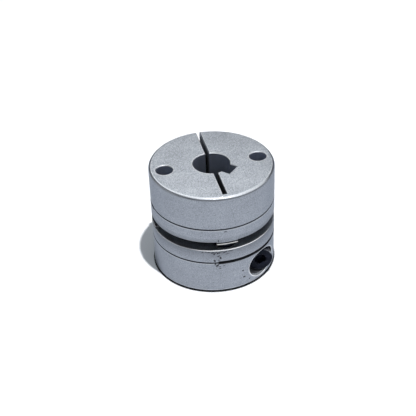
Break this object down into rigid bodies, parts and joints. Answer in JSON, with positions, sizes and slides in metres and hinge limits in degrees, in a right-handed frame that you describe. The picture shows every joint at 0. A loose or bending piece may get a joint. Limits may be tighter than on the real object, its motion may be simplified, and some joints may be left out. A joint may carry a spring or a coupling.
{
  "type": "disc coupling",
  "caption": "Flexible shaft coupling: slit aluminium clamp hubs with keyed bores and side clamp screws, joined by a bolted pack of thin steel discs.",
  "frame": {"origin": "centre of the lower hub's outer face, on the shaft axis, where the coupling stands", "axes": "+Z runs along the shafts from the lower hub to the upper hub; +X points along the lower hub's clamp slit; +Y points along the upper hub's clamp slit; -Y is the front"},
  "size_m": [0.034, 0.034, 0.0307],
  "materials": {
    "hub_aluminium": "fine bead-blasted, clear anodised, satin",
    "black_screw_steel": "black oxide, slightly oiled",
    "spacer_steel": "ground, bright",
    "leaf_steel": "cold rolled spring steel"
  },
  "bodies": {
    "lower_side": {"lower_hub": "hub_aluminium", "lower_clamp_screw": "black_screw_steel", "spacer_plate_right": "spacer_steel", "spacer_plate_left": "spacer_steel", "bolt_washer_right": "black_screw_steel", "bolt_washer_left": "black_screw_steel", "disc_bolt_right": "black_screw_steel", "disc_bolt_left": "black_screw_steel"},
    "disc_pack": {"disc_leaf_1": "leaf_steel", "disc_leaf_2": "leaf_steel", "disc_leaf_3": "leaf_steel", "disc_leaf_4": "leaf_steel", "disc_leaf_5": "leaf_steel", "disc_leaf_6": "leaf_steel"},
    "upper_side": {"upper_hub": "hub_aluminium", "upper_clamp_screw": "black_screw_steel", "spacer_plate_back": "spacer_steel", "spacer_plate_front": "spacer_steel", "bolt_washer_back": "black_screw_steel", "bolt_washer_front": "black_screw_steel", "disc_bolt_back": "black_screw_steel", "disc_bolt_front": "black_screw_steel"}
  },
  "joints": [
    {"name": "pack_flex_x", "type": "hinge", "parent": "lower_side", "child": "disc_pack", "pos_m": [0, 0, 0.01535], "axis": [1, 0, 0], "range_deg": [-1, 1], "stiffness_Nm_per_rad": 2, "deforming": ["disc_leaf_1", "disc_leaf_2", "disc_leaf_3", "disc_leaf_4", "disc_leaf_5", "disc_leaf_6"]},
    {"name": "pack_flex_y", "type": "hinge", "parent": "disc_pack", "child": "upper_side", "pos_m": [0, 0, 0.01535], "axis": [0, 1, 0], "range_deg": [-1, 1], "stiffness_Nm_per_rad": 2}
  ]
}
